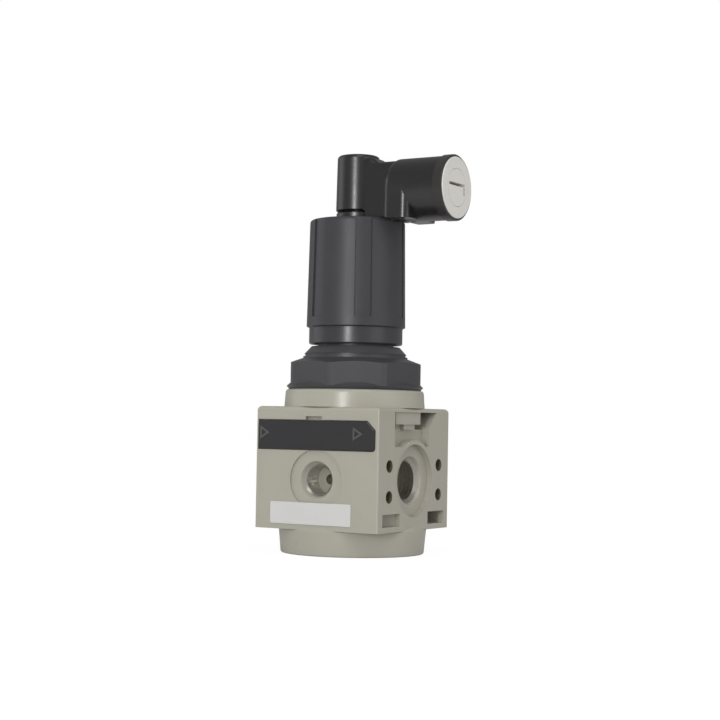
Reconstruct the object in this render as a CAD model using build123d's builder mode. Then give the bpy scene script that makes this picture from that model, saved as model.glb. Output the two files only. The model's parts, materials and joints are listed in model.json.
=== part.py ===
"""Compressed-air pressure regulator, G1/4, with a key lock on its adjusting knob.

Millimetres. Z is the main axis, Z = 0 the foot of the lower collar. Air flows along +X
from the inlet to the outlet, and the face with the gauge port looks along -Y.
"""
from build123d import *
from math import cos, pi, radians, sin
import os

os.makedirs("parts", exist_ok=True)

# Body block and its two collars
block_width = 42.3
block_depth = 42.3
block_bottom = 7.5
block_height = 36.1
block_edge_radius = 0.45
block_rear_radius = 1.2
foot_radius = 21.6
foot_edge = 0.3
foot_collar_radius = 22.25
foot_blend = 1.1
neck_collar_radius = 21.25
neck_rim_radius = 20.85
neck_rim_edge = 1.0
neck_collar_height = 5.3
core_inner_radius = 13.6
core_outer_radius = 19.4
core_depth = 6.0
core_rib_count = 8
core_rib_width = 1.6

# Chambers inside the body
port_height = 22.2
valve_chamber_radius = 7.5
web_bottom = 28.5
web_top = 34.5
chamber_radius = 15.0
diaphragm_ledge = 40.0
diaphragm_thickness = 1.5
skirt_radius = 17.9
skirt_clearance = 0.1
fit_gap = 0.05
running_gap = 0.1
open_gap = 0.3

# G1/4 ports in the two end faces
port_sink_radius = 10.75
port_sink_depth = 1.7
port_thread_major = 13.157
port_thread_minor = 11.445
port_mouth_radius = 7.2
port_lip_radius = 6.7
port_lip = 0.9
port_insert_radius = 8.6
port_insert_length = 6.9
port_chamfer_radius = 6.65
inlet_hole_radius = 4.5
outlet_slot_width = 9.0
outlet_slot_inner = 8.8

# Four fixing holes and the coupling pockets of each end face
fixing_hole_radius = 1.8
fixing_hole_depth = 9.5
fixing_spacing_y = 29.6
fixing_spacing_z = 8.9
pocket_left = -11.9
pocket_right = 8.7
pocket_wedge = 13.2
pocket_top = 42.4
pocket_knee = 37.8
pocket_bottom = 32.2
pocket_depth = 2.6
pocket_deep = 5.6
pocket_arch_radius = 12.0
lug_left = -10.4
lug_right = 4.2
lug_bottom = 38.8
lug_sink = 0.6
tab_left = -4.5
tab_right = 1.9
tab_bottom = 37.3
tab_sink = 1.3
notch_left = -7.1
hook_inner = 8.4
hook_outer = 18.4
hook_bottom = 9.1
hook_top = 12.8
hook_floor = 12.0
hook_back_radius = 21.2

# G1/8 gauge ports, front and rear
gauge_sink_radius = 8.9
gauge_sink_depth = 0.6
gauge_thread_major = 9.728
gauge_thread_minor = 8.566
gauge_mouth_radius = 5.5
gauge_lip_radius = 4.96
gauge_lip = 1.0
gauge_insert_radius = 6.2
gauge_insert_length = 6.6
gauge_hole_radius = 1.5
gauge_hole_length = 4.0
gauge_plug_head = 6.6
gauge_plug_head_height = 1.6
gauge_plug_length = 6.0
gauge_plug_socket = 5.0
gauge_plug_socket_depth = 3.2
gauge_seal_thickness = 1.0

# Name plate and label on the front
plate_left = -20.4
plate_right = 19.9
plate_bottom = 30.9
plate_top = 39.6
plate_corner = 2.6
plate_round = 1.2
plate_sink = 1.0
plate_proud = 0.4
plate_bevel = 0.4
plate_gap = 0.15
plate_pin_radius = 1.5
plate_pin_length = 3.6
plate_pin_spacing = 28.0
pry_left = -3.85
pry_right = 1.8
pry_height = 1.15
pry_depth = 1.4
label_left = -15.6
label_right = 12.2
label_rise = 1.6
label_height = 6.4
label_thickness = 0.2

# Valve in the lower half
seat_bore_radius = 4.0
seat_outer_radius = 6.0
seat_lip_height = 0.6
valve_travel = 1.4
poppet_radius = 5.6
poppet_height = 3.0
poppet_seal_thickness = 1.2
poppet_gap = 0.05
stem_radius = 1.5
guide_radius = 3.0
guide_bottom = 7.5
plug_radius = 10.0
plug_flange_radius = 11.5
plug_bottom = 1.0
plug_flange_height = 2.2
plug_top = 13.0
plug_sleeve_radius = 4.4
plug_sleeve_top = 17.0
plug_socket = 10.0
plug_socket_depth = 3.0
ring_seal_radius = 1.05
stem_seal_radius = 0.6
valve_spring_wire = 0.8
valve_spring_radius = 5.6
valve_spring_turns = 4

# Diaphragm and the plates that hold its centre
plate_disc_radius = 12.6
plate_disc_height = 1.4
plate_rim_height = 1.2
plate_rim_width = 1.2
plate_hub_radius = 3.2
relief_disc_radius = 8.0
relief_disc_height = 1.6
relief_hole_radius = 1.0
convolution_radius = 13.7
convolution_height = 1.0
stem_tip_gap = 0.2

# Bonnet: flange, eight-sided wrench part, cone ring and the tower inside the knob
bonnet_flange_radius = 20.7
bonnet_flange_height = 1.9
octagon_across = 38.85
octagon_corner_radius = 20.65
octagon_turn = 32.8
octagon_height = 9.5
octagon_crown_radius = 15.8
octagon_crown_drop = 1.75
bonnet_lip_height = 0.5
bonnet_groove_radius = 15.2
bonnet_groove_height = 0.7
cone_radius = 15.5
cone_top_radius = 13.4
cone_height = 2.3
tooth_count = 24
tooth_gap = 1.5
tooth_height = 3.0
tooth_outer_radius = 12.0
tower_radius = 11.4
tower_bore_radius = 9.5
tower_height = 29.7
tower_cap = 3.4
skirt_bore_radius = 15.0
skirt_bore_height = 5.5
tower_rib_width = 2.0
tower_rib_depth = 1.0

# Adjusting screw, spring nut and springs
journal_radius = 5.2
screw_radius = 5.0
screw_drop = 31.1
thrust_flange_radius = 8.4
thrust_flange_height = 2.2
thrust_washer_height = 0.8
hex_across = 8.0
hex_rise = 5.4
hex_slit_width = 1.0
hex_slit_depth = 5.0
hex_bore_radius = 2.3
screw_pitch = 1.5
nut_radius = 9.2
nut_height = 5.0
nut_drop = 14.6
nut_travel = 9.0
main_spring_wire = 2.2
main_spring_radius = 7.2
main_spring_turns = 7

# Knob
knob_gap = 0.7
knob_band_radius = 14.15
knob_band_height = 4.9
knob_step = 0.4
knob_radius = 14.95
knob_top_radius = 14.4
knob_cap = 3.2
knob_edge_radius = 1.0
knob_bore_radius = 12.4
knob_roof = 2.8
knob_hub_radius = 7.6
knob_hub_gap = 0.8
knob_lift = 2.0
flute_count = 6
flute_angle = 20.0
flute_turn = 8.9
flute_depth = 0.45
flute_rise = 8.0
knob_rib_width = 1.4

# Stud on the knob and the elbow-shaped lock
stud_thread_radius = 4.0
stud_gap = 0.5
stud_collar_radius = 6.5
stud_collar_height = 2.4
stud_stem_radius = 4.6
stud_stem_height = 3.0
stud_bore_radius = 3.1
clip_rise = 1.3
clip_height = 0.7
clip_inner_radius = 4.15
clip_outer_radius = 5.4
clip_opening = 3.0
post_radius = 6.65
post_top_radius = 6.4
post_rise = 11.4
post_edge_radius = 1.1
post_bore_rise = 5.0
barrel_rise = 8.4
barrel_radius = 9.5
barrel_back = 13.6
barrel_back_radius = 2.6
barrel_end = 30.9
barrel_bore_radius = 7.1
barrel_bore_back = 15.4
saddle_end = 22.5
saddle_corner = 2.5
saddle_drop = 0.7
saddle_gap = 0.4
neck_half_width = 4.6
neck_edge_radius = 2.0
neck_rise = 8.7
neck_shoulder_rise = 10.4
neck_shoulder = 5.8
neck_flat = 9.8
crank_bore_radius = 4.0

# Lock cylinder, its face, plug and bolt
rim_radius = 9.8
rim_length = 2.8
rim_bevel = 0.3
face_radius = 9.1
face_depth = 0.9
face_proud = 0.3
face_edge_radius = 0.25
lock_plug_radius = 5.6
lock_plug_back = 16.2
crank_radius = 3.6
crank_front = 4.9
crank_offset = 2.2
crank_pin_radius = 0.9
crank_pin_end = -2.6
key_angle_rest = -45.0
keyway_width = 0.9
keyway_length = 9.8
keyway_rise = 0.9
keyway_foot = 2.9
keyway_depth = 9.0
bolt_radius = 3.0
bolt_tip_radius = 2.0
bolt_tip_drop = 2.2
bolt_step_drop = 1.2
bolt_rise = 1.0
bolt_slot_half = 1.05
bolt_slot_inner = 0.3
cylinder_pin_radius = 0.8
cylinder_pin_x = 19.5
cylinder_pin_wall = 0.5

# Places worked out from the sizes above
half_width = block_width / 2
half_depth = block_depth / 2
block_top = block_bottom + block_height
body_top = block_top + neck_collar_height
port_floor = half_width - port_sink_depth
port_inner = port_floor - port_lip - port_insert_length
gauge_floor = half_depth - gauge_sink_depth
gauge_inner = gauge_floor - gauge_lip - gauge_insert_length
label_bottom = block_bottom + label_rise
skirt_bottom = diaphragm_ledge + diaphragm_thickness
octagon_top = body_top + octagon_height
groove_top = octagon_top + bonnet_lip_height + bonnet_groove_height
cone_top = groove_top + cone_height
tower_top = cone_top + tower_height
tower_inner_top = tower_top - tower_cap
screw_bottom = tower_top - screw_drop
nut_bottom = tower_top - nut_drop
hex_top = tower_top + hex_rise
knob_bottom = cone_top + knob_gap
knob_band_top = knob_bottom + knob_band_height
knob_top = hex_top + knob_cap
knob_wall_top = knob_top - knob_roof
knob_hub_bottom = tower_top + knob_hub_gap
flute_bottom = knob_bottom + flute_rise
stud_bottom = hex_top + stud_gap
stud_collar_top = knob_top + stud_collar_height
stud_top = stud_collar_top + stud_stem_height
clip_bottom = stud_collar_top + clip_rise
post_bottom = stud_collar_top + open_gap
barrel_height = knob_top + barrel_rise
post_top = barrel_height + post_rise
post_bore_top = barrel_height + post_bore_rise
saddle_bottom = knob_top - saddle_drop
saddle_level = knob_top + saddle_gap
neck_top = barrel_height + neck_rise
neck_shoulder_top = barrel_height + neck_shoulder_rise
rim_end = barrel_end + rim_length
face_end = rim_end + face_proud
bolt_tip_bottom = hex_top - bolt_tip_drop
bolt_step = knob_top - bolt_step_drop
bolt_top = barrel_height + bolt_rise
cylinder_pin_top = barrel_height - lock_plug_radius - cylinder_pin_wall
plate_mid = (plate_left + plate_right) / 2
plate_mid_height = (plate_bottom + plate_top) / 2
seal_bottom = web_bottom - poppet_gap - seat_lip_height
relief_bottom = diaphragm_ledge - relief_disc_height
pin_drop = crank_offset * sin(radians(-key_angle_rest))
pin_side = crank_offset * cos(radians(key_angle_rest))
slot_height = barrel_height - pin_drop
end_plane = Plane(origin=(half_width, 0, 0), x_dir=(0, 1, 0), z_dir=(1, 0, 0))
front_plane = Plane(origin=(0, -half_depth, 0), x_dir=(1, 0, 0), z_dir=(0, -1, 0))


def turned(points):
    """A closed outline of (radius, height) points in the XZ plane, ready to be revolved."""
    with BuildSketch(Plane.XZ) as outline:
        with BuildLine():
            Polyline(*points, close=True)
        make_face()
    return outline.sketch


def ring(outer, inner, bottom, top):
    """The outline of a plain ring or, with inner = 0, of a disc."""
    return turned([(inner, bottom), (outer, bottom), (outer, top), (inner, top)])


def coil(radius, wire, bottom, top, turns):
    """A compression spring with its wire's centre line between two heights."""
    with BuildPart() as spring:
        with BuildLine() as path:
            Helix(pitch=(top - bottom) / turns, height=top - bottom, radius=radius,
                  center=(0, 0, bottom))
        with BuildSketch(Plane(origin=path.line @ 0, z_dir=path.line % 0)):
            Circle(wire / 2)
        sweep()
    return spring


# Everything that is cut into one end face: port, fixing holes and coupling pockets
with BuildPart() as end_cuts:
    with BuildSketch(Plane.XZ):
        with BuildLine():
            Polyline(
                (port_inner, port_height),
                (port_inner, port_height + port_insert_radius + fit_gap),
                (port_floor - port_lip, port_height + port_insert_radius + fit_gap),
                (port_floor - port_lip, port_height + port_lip_radius),
                (port_floor, port_height + port_mouth_radius),
                (port_floor, port_height + port_sink_radius),
                (half_width + 1, port_height + port_sink_radius),
                (half_width + 1, port_height),
                close=True,
            )
        make_face()
    revolve(axis=Axis((0, 0, port_height), (1, 0, 0)))
    with BuildSketch(end_plane):
        with Locations((0, port_height)):
            with GridLocations(fixing_spacing_y, fixing_spacing_z, 2, 2):
                Circle(fixing_hole_radius)
    extrude(amount=-fixing_hole_depth)

# The coupling pocket above the port, with its lug and tab left standing
with BuildPart() as coupling_pocket:
    with BuildSketch(end_plane.offset(-pocket_depth)):
        with BuildLine():
            Polyline(
                (pocket_left, pocket_bottom),
                (pocket_right, pocket_bottom),
                (pocket_right, pocket_knee),
                (pocket_wedge, pocket_top),
                (pocket_left, pocket_top),
                close=True,
            )
        make_face()
        with Locations((0, port_height)):
            Circle(pocket_arch_radius, mode=Mode.SUBTRACT)
    extrude(amount=pocket_depth + 1)
    with BuildSketch(end_plane.offset(-pocket_depth)):
        with Locations(((lug_left + lug_right) / 2, (lug_bottom + pocket_top) / 2)):
            Rectangle(lug_right - lug_left, pocket_top - lug_bottom)
    extrude(amount=pocket_depth - lug_sink, mode=Mode.SUBTRACT)
    with BuildSketch(end_plane.offset(-pocket_depth)):
        with Locations(((tab_left + tab_right) / 2, (tab_bottom + lug_bottom) / 2)):
            Rectangle(tab_right - tab_left, lug_bottom - tab_bottom)
    extrude(amount=pocket_depth - tab_sink, mode=Mode.SUBTRACT)
    with BuildSketch(end_plane.offset(-pocket_deep)):
        with Locations(((pocket_left + notch_left) / 2, (tab_bottom + lug_bottom) / 2)):
            Rectangle(notch_left - pocket_left, lug_bottom - tab_bottom)
        with BuildLine():
            Polyline(
                (tab_right, tab_bottom),
                (pocket_right, tab_bottom),
                (pocket_right, pocket_knee),
                (pocket_wedge, pocket_top),
                (lug_right, pocket_top),
                (lug_right, lug_bottom),
                (tab_right, lug_bottom),
                close=True,
            )
        make_face()
    extrude(amount=pocket_deep - pocket_depth)

# The hook pockets beside the foot collar, open to the end face
with BuildPart() as hook_pockets:
    with BuildSketch(Plane.YZ.offset(hook_floor)):
        with Locations(
            ((hook_inner + hook_outer) / 2, (hook_bottom + hook_top) / 2),
            (-(hook_inner + hook_outer) / 2, (hook_bottom + hook_top) / 2),
        ):
            Rectangle(hook_outer - hook_inner, hook_top - hook_bottom)
    extrude(amount=half_width - hook_floor + 1)
    with BuildSketch(Plane.XY.offset(hook_bottom)):
        Circle(hook_back_radius)
    extrude(amount=hook_top - hook_bottom, mode=Mode.SUBTRACT)

# Everything that is cut into the front face and again into the rear one
with BuildPart() as gauge_cuts:
    with BuildSketch(Plane.YZ):
        with BuildLine():
            Polyline(
                (-gauge_inner, port_height),
                (-gauge_inner, port_height + gauge_insert_radius + fit_gap),
                (-gauge_floor + gauge_lip, port_height + gauge_insert_radius + fit_gap),
                (-gauge_floor + gauge_lip, port_height + gauge_lip_radius),
                (-gauge_floor, port_height + gauge_mouth_radius),
                (-gauge_floor, port_height + gauge_sink_radius),
                (-half_depth - 1, port_height + gauge_sink_radius),
                (-half_depth - 1, port_height),
                close=True,
            )
        make_face()
    revolve(axis=Axis((0, 0, port_height), (0, 1, 0)))
    with BuildSketch(Plane.XZ.offset(gauge_inner - gauge_hole_length)):
        with Locations((0, port_height)):
            Circle(gauge_hole_radius)
    extrude(amount=gauge_hole_length + fit_gap)
    with BuildSketch(Plane.XY.offset(port_height)):
        with Locations((0, -gauge_inner + gauge_hole_length / 2)):
            Circle(gauge_hole_radius - fit_gap)
    extrude(amount=web_top - port_height)

# The moulded body
with BuildPart() as body:
    with BuildSketch(Plane.XY.offset(block_bottom)):
        RectangleRounded(block_width, block_depth, block_edge_radius)
    extrude(amount=block_top - block_bottom)
    rear_edges = body.edges().filter_by(Axis.X).group_by(Axis.Z)[-1]
    fillet(rear_edges.sort_by(Axis.Y)[-1], radius=block_rear_radius)
    revolve(
        turned(
            [
                (0, 0),
                (foot_radius - foot_edge, 0),
                (foot_radius, foot_edge),
                (foot_collar_radius, block_bottom - foot_blend / 4),
                (half_width - fit_gap, block_bottom + foot_blend),
                (0, block_bottom + foot_blend),
            ]
        ),
        axis=Axis.Z,
    )
    revolve(
        turned(
            [
                (0, block_top),
                (neck_collar_radius, block_top),
                (neck_rim_radius, body_top),
                (0, body_top),
            ]
        ),
        axis=Axis.Z,
    )
    fillet(body.edges().group_by(Axis.Z)[-1], radius=neck_rim_edge)
    # Threaded bore for the bonnet, diaphragm chamber, valve chamber and plug thread
    revolve(
        turned(
            [
                (0, -1),
                (plug_flange_radius + open_gap, -1),
                (plug_flange_radius + open_gap, plug_bottom + plug_flange_height),
                (plug_radius + fit_gap, plug_bottom + plug_flange_height),
                (plug_radius + fit_gap, plug_top),
                (valve_chamber_radius, plug_top),
                (valve_chamber_radius, web_bottom),
                (seat_outer_radius + fit_gap, web_bottom),
                (seat_outer_radius + fit_gap, web_top),
                (chamber_radius, web_top),
                (chamber_radius, diaphragm_ledge),
                (skirt_radius + skirt_clearance, diaphragm_ledge),
                (skirt_radius + skirt_clearance, body_top + 1),
                (0, body_top + 1),
            ]
        ),
        axis=Axis.Z,
        mode=Mode.SUBTRACT,
    )
    # Coring of the underside, with ribs between the two walls
    with BuildSketch(Plane.XY):
        Circle(core_outer_radius)
        Circle(core_inner_radius, mode=Mode.SUBTRACT)
        with PolarLocations(0, core_rib_count):
            Rectangle(2 * half_width, core_rib_width, align=(Align.MIN, Align.CENTER),
                      mode=Mode.SUBTRACT)
    extrude(amount=core_depth, mode=Mode.SUBTRACT)
    # Ports, pockets and passages of the two end faces
    add(end_cuts.part, mode=Mode.SUBTRACT)
    add(mirror(end_cuts.part, about=Plane.YZ, mode=Mode.PRIVATE), mode=Mode.SUBTRACT)
    add(coupling_pocket.part, mode=Mode.SUBTRACT)
    add(mirror(coupling_pocket.part, about=Plane.YZ, mode=Mode.PRIVATE), mode=Mode.SUBTRACT)
    add(hook_pockets.part, mode=Mode.SUBTRACT)
    add(mirror(hook_pockets.part, about=Plane.YZ, mode=Mode.PRIVATE), mode=Mode.SUBTRACT)
    with BuildSketch(Plane.YZ.offset(-port_inner)):
        with Locations((0, port_height)):
            Circle(inlet_hole_radius)
    extrude(amount=port_inner - valve_chamber_radius / 2, mode=Mode.SUBTRACT)
    with BuildSketch(Plane.XY.offset(port_height - inlet_hole_radius)):
        with Locations(((outlet_slot_inner + port_inner) / 2, 0)):
            Rectangle(port_inner - outlet_slot_inner, outlet_slot_width)
    extrude(amount=web_top - port_height + inlet_hole_radius, mode=Mode.SUBTRACT)
    # Gauge ports, front and rear
    add(gauge_cuts.part, mode=Mode.SUBTRACT)
    add(mirror(gauge_cuts.part, about=Plane.XZ, mode=Mode.PRIVATE), mode=Mode.SUBTRACT)
    # Seat of the name plate, its two pin holes and the slot for prying it off
    with BuildSketch(front_plane.offset(-plate_sink)):
        with BuildLine():
            Polyline(
                (plate_left - plate_gap, plate_bottom - plate_gap),
                (plate_right + plate_gap, plate_bottom - plate_gap),
                (plate_right + plate_gap, plate_top - plate_corner),
                (plate_right - plate_corner, plate_top + plate_gap),
                (plate_left - plate_gap, plate_top + plate_gap),
                close=True,
            )
        seat_face = make_face()
        fillet(seat_face.vertices().group_by(Axis.Y)[0].sort_by(Axis.X)[-1], radius=plate_round)
    extrude(amount=plate_sink + 1, mode=Mode.SUBTRACT)
    with BuildSketch(front_plane.offset(-plate_sink)):
        with Locations((plate_mid, plate_mid_height)):
            with GridLocations(plate_pin_spacing, 1, 2, 1):
                Circle(plate_pin_radius + fit_gap)
    extrude(amount=-plate_pin_length - open_gap, mode=Mode.SUBTRACT)
    with BuildSketch(front_plane.offset(-pry_depth)):
        with Locations(((pry_left + pry_right) / 2, plate_top + pry_height / 2)):
            Rectangle(pry_right - pry_left, pry_height)
    extrude(amount=pry_depth + 1, mode=Mode.SUBTRACT)
body.part.label = "body"
export_step(body.part, "parts/body.step")

# Threaded metal inserts of the two ports
with BuildPart() as port_insert_out:
    with BuildSketch(Plane.YZ.offset(port_inner)):
        with Locations((0, port_height)):
            Circle(port_insert_radius)
            Circle(port_thread_minor / 2, mode=Mode.SUBTRACT)
    extrude(amount=port_insert_length)
    mouth = port_insert_out.edges().group_by(Axis.X)[-1].sort_by(SortBy.RADIUS)[0]
    chamfer(mouth, length=port_chamfer_radius - port_thread_minor / 2)
port_insert_out.part.label = "port_insert_out"
export_step(port_insert_out.part, "parts/port_insert_out.step")

with BuildPart() as port_insert_in:
    add(mirror(port_insert_out.part, about=Plane.YZ, mode=Mode.PRIVATE))
port_insert_in.part.label = "port_insert_in"
export_step(port_insert_in.part, "parts/port_insert_in.step")

# Threaded metal inserts of the two gauge ports
with BuildPart() as gauge_insert_front:
    with BuildSketch(Plane.XZ.offset(gauge_inner)):
        with Locations((0, port_height)):
            Circle(gauge_insert_radius)
            Circle(gauge_thread_minor / 2, mode=Mode.SUBTRACT)
    extrude(amount=gauge_insert_length)
    mouth = gauge_insert_front.edges().group_by(Axis.Y)[0].sort_by(SortBy.RADIUS)[0]
    chamfer(mouth, length=(gauge_thread_major - gauge_thread_minor) / 2)
gauge_insert_front.part.label = "gauge_insert_front"
export_step(gauge_insert_front.part, "parts/gauge_insert_front.step")

with BuildPart() as gauge_insert_rear:
    add(mirror(gauge_insert_front.part, about=Plane.XZ, mode=Mode.PRIVATE))
gauge_insert_rear.part.label = "gauge_insert_rear"
export_step(gauge_insert_rear.part, "parts/gauge_insert_rear.step")

# Sealing washer and socket plug that close the rear gauge port
with BuildPart() as gauge_plug_seal:
    with BuildSketch(Plane.XZ.offset(-gauge_floor)):
        with Locations((0, port_height)):
            Circle(gauge_plug_head)
            Circle(gauge_thread_major / 2 + fit_gap, mode=Mode.SUBTRACT)
    extrude(amount=-gauge_seal_thickness)
gauge_plug_seal.part.label = "gauge_plug_seal"
export_step(gauge_plug_seal.part, "parts/gauge_plug_seal.step")

with BuildPart() as gauge_plug:
    with BuildSketch(Plane.XZ.offset(-gauge_floor - gauge_seal_thickness)):
        with Locations((0, port_height)):
            Circle(gauge_plug_head)
    extrude(amount=-gauge_plug_head_height)
    fillet(gauge_plug.edges().group_by(Axis.Y)[-1], radius=gauge_plug_head_height / 4)
    with BuildSketch(Plane.XZ.offset(-gauge_floor - gauge_seal_thickness)):
        with Locations((0, port_height)):
            Circle(gauge_thread_minor / 2 - fit_gap)
    extrude(amount=gauge_plug_length)
    with BuildSketch(Plane.XZ.offset(-gauge_floor - gauge_seal_thickness - gauge_plug_head_height)):
        with Locations((0, port_height)):
            RegularPolygon(gauge_plug_socket / 2, 6, major_radius=False)
    extrude(amount=gauge_plug_socket_depth, mode=Mode.SUBTRACT)
gauge_plug.part.label = "gauge_plug"
export_step(gauge_plug.part, "parts/gauge_plug.step")

# Clip-on name plate with two pins
with BuildPart() as front_plate:
    with BuildSketch(front_plane.offset(-plate_sink)):
        with BuildLine():
            Polyline(
                (plate_left, plate_bottom),
                (plate_right, plate_bottom),
                (plate_right, plate_top - plate_corner),
                (plate_right - plate_corner, plate_top),
                (plate_left, plate_top),
                close=True,
            )
        plate_face = make_face()
        fillet(plate_face.vertices().group_by(Axis.Y)[0].sort_by(Axis.X)[-1], radius=plate_round)
    extrude(amount=plate_sink + plate_proud)
    chamfer(front_plate.faces().sort_by(Axis.Y)[0].edges(), length=plate_bevel)
    with BuildSketch(front_plane.offset(-plate_sink)):
        with Locations((plate_mid, plate_mid_height)):
            with GridLocations(plate_pin_spacing, 1, 2, 1):
                Circle(plate_pin_radius)
    extrude(amount=-plate_pin_length)
front_plate.part.label = "front_plate"
export_step(front_plate.part, "parts/front_plate.step")

with BuildPart() as rating_label:
    with BuildSketch(front_plane):
        with Locations(((label_left + label_right) / 2, label_bottom + label_height / 2)):
            RectangleRounded(label_right - label_left, label_height, 2 * label_thickness)
    extrude(amount=label_thickness)
rating_label.part.label = "rating_label"
export_step(rating_label.part, "parts/rating_label.step")

# Valve seat pressed into the web between the two chambers
with BuildPart() as valve_seat:
    revolve(
        turned(
            [
                (seat_bore_radius, web_bottom - seat_lip_height),
                (seat_bore_radius + seat_lip_height, web_bottom - seat_lip_height),
                (seat_bore_radius + 2 * seat_lip_height, web_bottom),
                (seat_outer_radius, web_bottom),
                (seat_outer_radius, web_top),
                (seat_bore_radius, web_top),
            ]
        ),
        axis=Axis.Z,
    )
valve_seat.part.label = "valve_seat"
export_step(valve_seat.part, "parts/valve_seat.step")

# Bottom plug with the guide sleeve of the valve, its ring seal in the corner above
with BuildPart() as bottom_plug:
    revolve(
        turned(
            [
                (0, plug_bottom),
                (plug_flange_radius - 0.3, plug_bottom),
                (plug_flange_radius, plug_bottom + 0.3),
                (plug_flange_radius, plug_bottom + plug_flange_height),
                (plug_radius, plug_bottom + plug_flange_height),
                (plug_radius, plug_top - 2 * ring_seal_radius - fit_gap),
                (plug_radius - 2 * ring_seal_radius - fit_gap, plug_top - 2 * ring_seal_radius - fit_gap),
                (plug_radius - 2 * ring_seal_radius - fit_gap, plug_top),
                (plug_sleeve_radius, plug_top),
                (plug_sleeve_radius, plug_sleeve_top),
                (guide_radius + running_gap, plug_sleeve_top),
                (guide_radius + running_gap, guide_bottom - valve_travel - open_gap),
                (0, guide_bottom - valve_travel - open_gap),
            ]
        ),
        axis=Axis.Z,
    )
    with BuildSketch(Plane.XY.offset(plug_bottom)):
        RegularPolygon(plug_socket / 2, 6, major_radius=False)
    extrude(amount=plug_socket_depth, mode=Mode.SUBTRACT)
bottom_plug.part.label = "bottom_plug"
export_step(bottom_plug.part, "parts/bottom_plug.step")

with BuildPart() as bottom_plug_seal:
    with BuildSketch(Plane.XZ):
        with Locations((plug_radius - ring_seal_radius, plug_top - ring_seal_radius)):
            Circle(ring_seal_radius - fit_gap)
    revolve(axis=Axis.Z)
bottom_plug_seal.part.label = "bottom_plug_seal"
export_step(bottom_plug_seal.part, "parts/bottom_plug_seal.step")

# Poppet with its guide below and its long stem above, and the rubber ring that closes the seat
with BuildPart() as valve_poppet:
    revolve(
        turned(
            [
                (0, guide_bottom),
                (guide_radius, guide_bottom),
                (guide_radius, seal_bottom - poppet_seal_thickness - poppet_height),
                (poppet_radius, seal_bottom - poppet_seal_thickness - poppet_height + 1),
                (poppet_radius, seal_bottom - poppet_seal_thickness),
                (guide_radius, seal_bottom - poppet_seal_thickness),
                (guide_radius, seal_bottom),
                (stem_radius, seal_bottom + 1),
                (stem_radius, relief_bottom - stem_tip_gap - 0.5),
                (stem_radius - 0.5, relief_bottom - stem_tip_gap),
                (0, relief_bottom - stem_tip_gap),
            ]
        ),
        axis=Axis.Z,
    )
    with BuildSketch(Plane.XZ):
        with Locations((guide_radius, (guide_bottom + plug_top) / 2)):
            Circle(stem_seal_radius)
    revolve(axis=Axis.Z, mode=Mode.SUBTRACT)
valve_poppet.part.label = "valve_poppet"
export_step(valve_poppet.part, "parts/valve_poppet.step")

with BuildPart() as poppet_seal:
    revolve(
        ring(poppet_radius - 0.2, guide_radius + fit_gap, seal_bottom - poppet_seal_thickness, seal_bottom),
        axis=Axis.Z,
    )
poppet_seal.part.label = "poppet_seal"
export_step(poppet_seal.part, "parts/poppet_seal.step")

with BuildPart() as stem_seal:
    with BuildSketch(Plane.XZ):
        with Locations((guide_radius, (guide_bottom + plug_top) / 2)):
            Circle(stem_seal_radius - fit_gap)
    revolve(axis=Axis.Z)
    revolve(
        ring(plug_radius, guide_radius + running_gap - fit_gap, guide_bottom, plug_top),
        axis=Axis.Z,
        mode=Mode.SUBTRACT,
    )
stem_seal.part.label = "stem_seal"
export_step(stem_seal.part, "parts/stem_seal.step")

valve_spring = coil(
    valve_spring_radius,
    valve_spring_wire,
    plug_top + valve_spring_wire / 2 + fit_gap,
    seal_bottom - poppet_seal_thickness - poppet_height - open_gap,
    valve_spring_turns,
)
valve_spring.part.label = "valve_spring"
export_step(valve_spring.part, "parts/valve_spring.step")

# Rubber diaphragm with a rolled fold, clamped between body and bonnet
with BuildPart() as diaphragm:
    revolve(
        turned(
            [
                (plate_hub_radius + fit_gap, diaphragm_ledge),
                (convolution_radius - 1, diaphragm_ledge),
                (convolution_radius, diaphragm_ledge + convolution_height),
                (convolution_radius + 1, diaphragm_ledge),
                (skirt_radius, diaphragm_ledge),
                (skirt_radius, skirt_bottom),
                (convolution_radius + 1, skirt_bottom),
                (convolution_radius, skirt_bottom + convolution_height),
                (convolution_radius - 1, skirt_bottom),
                (plate_hub_radius + fit_gap, skirt_bottom),
            ]
        ),
        axis=Axis.Z,
    )
diaphragm.part.label = "diaphragm"
export_step(diaphragm.part, "parts/diaphragm.step")

# Dished plate above the diaphragm, with the hub that carries the relief disc below
with BuildPart() as diaphragm_plate:
    revolve(
        turned(
            [
                (relief_hole_radius, diaphragm_ledge + fit_gap),
                (plate_hub_radius, diaphragm_ledge + fit_gap),
                (plate_hub_radius, skirt_bottom + fit_gap),
                (plate_disc_radius, skirt_bottom + fit_gap),
                (plate_disc_radius, skirt_bottom + plate_disc_height + plate_rim_height),
                (plate_disc_radius - plate_rim_width, skirt_bottom + plate_disc_height + plate_rim_height),
                (plate_disc_radius - 2 * plate_rim_width, skirt_bottom + plate_disc_height),
                (relief_hole_radius, skirt_bottom + plate_disc_height),
            ]
        ),
        axis=Axis.Z,
    )
diaphragm_plate.part.label = "diaphragm_plate"
export_step(diaphragm_plate.part, "parts/diaphragm_plate.step")

with BuildPart() as relief_disc:
    revolve(ring(relief_disc_radius, relief_hole_radius, relief_bottom, diaphragm_ledge - fit_gap), axis=Axis.Z)
relief_disc.part.label = "relief_disc"
export_step(relief_disc.part, "parts/relief_disc.step")

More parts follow.
